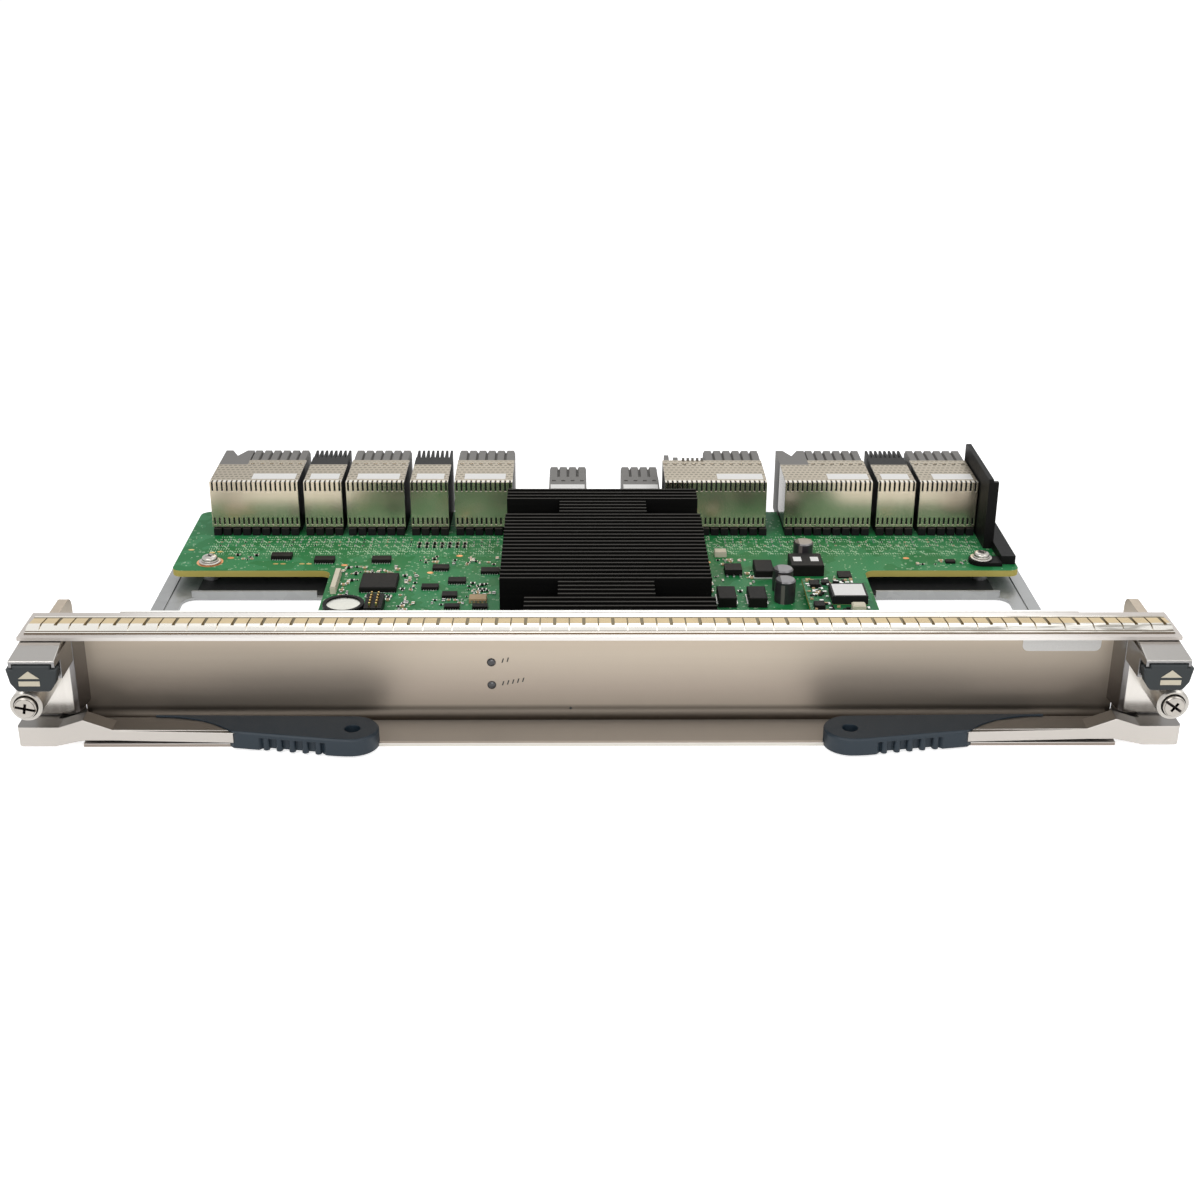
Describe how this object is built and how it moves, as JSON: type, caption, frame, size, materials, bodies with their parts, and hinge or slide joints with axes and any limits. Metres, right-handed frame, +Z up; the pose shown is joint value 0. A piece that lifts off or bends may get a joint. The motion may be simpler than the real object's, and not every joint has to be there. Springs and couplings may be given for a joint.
{
  "type": "switch fabric module",
  "caption": "Plug-in switch fabric module: metal panel with ejector levers and captive screws, carrier tray, circuit board with finned heat sink, rear backplane connectors.",
  "frame": {"origin": "bottom centre of the whole module's box, lying flat on its tray", "axes": "+X along the front panel, +Y from the panel to the backplane connectors, +Z up"},
  "size_m": [0.3844, 0.2216, 0.0411],
  "materials": {
    "black_film": "matte film",
    "board_green": "green solder mask",
    "bracket_black": "matte moulded",
    "button_plastic": "matte moulded",
    "capacitor_metal": "bright can",
    "cell_metal": "satin steel",
    "chip_black": "matte moulded",
    "dark_metal": "blackened",
    "daughter_green": "green solder mask",
    "gasket_metal": "bright sprung sheet",
    "grip_plastic": "matte moulded",
    "header_black": "matte moulded",
    "housing_grey": "matte moulded",
    "latch_metal": "polished casting",
    "lever_metal": "satin casting",
    "panel_metal": "satin nickel-plated sheet",
    "power_black": "matte moulded",
    "screw_metal": "bright turned steel",
    "sink_black": "black anodised",
    "spring_steel": "spring wire",
    "stiffener_metal": "satin sheet",
    "tray_metal": "pale satin sheet",
    "wafer_black": "matte moulded"
  },
  "bodies": {
    "module": {"board_chips": "chip_black", "board_screws": "screw_metal", "button_spring_left": "spring_steel", "button_spring_right": "spring_steel", "carrier_tray": "tray_metal", "coin_cell": "cell_metal", "coin_cell_holder": "header_black", "connector_centre_right_housing": "housing_grey", "connector_centre_right_stiffener": "stiffener_metal", "connector_centre_right_wafers": "wafer_black", "connector_inner_left_housing": "housing_grey", "connector_inner_left_stiffener": "stiffener_metal", "connector_inner_left_wafers": "wafer_black", "connector_inner_right_housing": "housing_grey", "connector_inner_right_stiffener": "stiffener_metal", "connector_inner_right_wafers": "wafer_black", "connector_middle_left_housing": "housing_grey", "connector_middle_left_stiffener": "stiffener_metal", "connector_middle_left_wafers": "wafer_black", "connector_outer_left_housing": "housing_grey", "connector_outer_left_stiffener": "stiffener_metal", "connector_outer_left_wafers": "wafer_black", "connector_outer_right_housing": "housing_grey", "connector_outer_right_stiffener": "stiffener_metal", "connector_outer_right_wafers": "wafer_black", "daughter_board": "daughter_green", "emi_gasket": "gasket_metal", "front_panel": "panel_metal", "guide_bracket": "bracket_black", "heat_sink": "sink_black", "heat_sink_screws": "dark_metal", "insulator_sheet": "black_film", "latch_housing_left": "latch_metal", "latch_housing_right": "latch_metal", "lever_pins": "screw_metal", "main_board": "board_green", "pin_header": "header_black", "power_capacitors": "capacitor_metal", "power_connector_left_inner_body": "power_black", "power_connector_left_inner_stiffener": "stiffener_metal", "power_connector_left_outer_body": "power_black", "power_connector_left_outer_stiffener": "stiffener_metal", "power_connector_right_body": "power_black", "power_connector_right_stiffener": "stiffener_metal", "power_inductors": "chip_black", "screw_ferrules": "screw_metal", "screw_spring_left": "spring_steel", "screw_spring_right": "spring_steel", "small_connectors": "housing_grey", "switch_chips": "chip_black"},
    "lever_left": {"ejector_lever_left": "lever_metal", "lever_grip_left": "grip_plastic"},
    "lever_right": {"ejector_lever_right": "lever_metal", "lever_grip_right": "grip_plastic"},
    "button_left": {"eject_button_left": "button_plastic"},
    "button_right": {"eject_button_right": "button_plastic"},
    "screw_carrier_left": {"screw_clip_left": "screw_metal"},
    "screw_carrier_right": {"screw_clip_right": "screw_metal"},
    "screw_left": {"captive_screw_left": "screw_metal"},
    "screw_right": {"captive_screw_right": "screw_metal"}
  },
  "joints": [
    {"name": "lever_left_swing", "type": "hinge", "parent": "module", "child": "lever_left", "pos_m": [-0.1785, -0.082, 0.018], "axis": [0, 0, -1], "range_deg": [0, 50]},
    {"name": "button_left_press", "type": "slide", "parent": "module", "child": "button_left", "axis": [0, 1, 0], "range_m": [0, 0.003], "stiffness_N_per_m": 300, "springref_m": -0.002, "deforming": ["button_spring_left"]},
    {"name": "screw_left_slide", "type": "slide", "parent": "module", "child": "screw_carrier_left", "axis": [0, 1, 0], "range_m": [0, 0.005], "stiffness_N_per_m": 400, "springref_m": -0.003, "deforming": ["screw_spring_left"]},
    {"name": "screw_left_turn", "type": "hinge", "parent": "screw_carrier_left", "child": "screw_left", "pos_m": [-0.1853, -0.091, 0.0192], "axis": [0, 1, 0], "continuous": true},
    {"name": "lever_right_swing", "type": "hinge", "parent": "module", "child": "lever_right", "pos_m": [0.1785, -0.082, 0.018], "axis": [0, 0, 1], "range_deg": [0, 50]},
    {"name": "button_right_press", "type": "slide", "parent": "module", "child": "button_right", "axis": [0, 1, 0], "range_m": [0, 0.003], "stiffness_N_per_m": 300, "springref_m": -0.002, "deforming": ["button_spring_right"]},
    {"name": "screw_right_slide", "type": "slide", "parent": "module", "child": "screw_carrier_right", "axis": [0, 1, 0], "range_m": [0, 0.005], "stiffness_N_per_m": 400, "springref_m": -0.003, "deforming": ["screw_spring_right"]},
    {"name": "screw_right_turn", "type": "hinge", "parent": "screw_carrier_right", "child": "screw_right", "pos_m": [0.1853, -0.091, 0.0192], "axis": [0, 1, 0], "continuous": true}
  ]
}
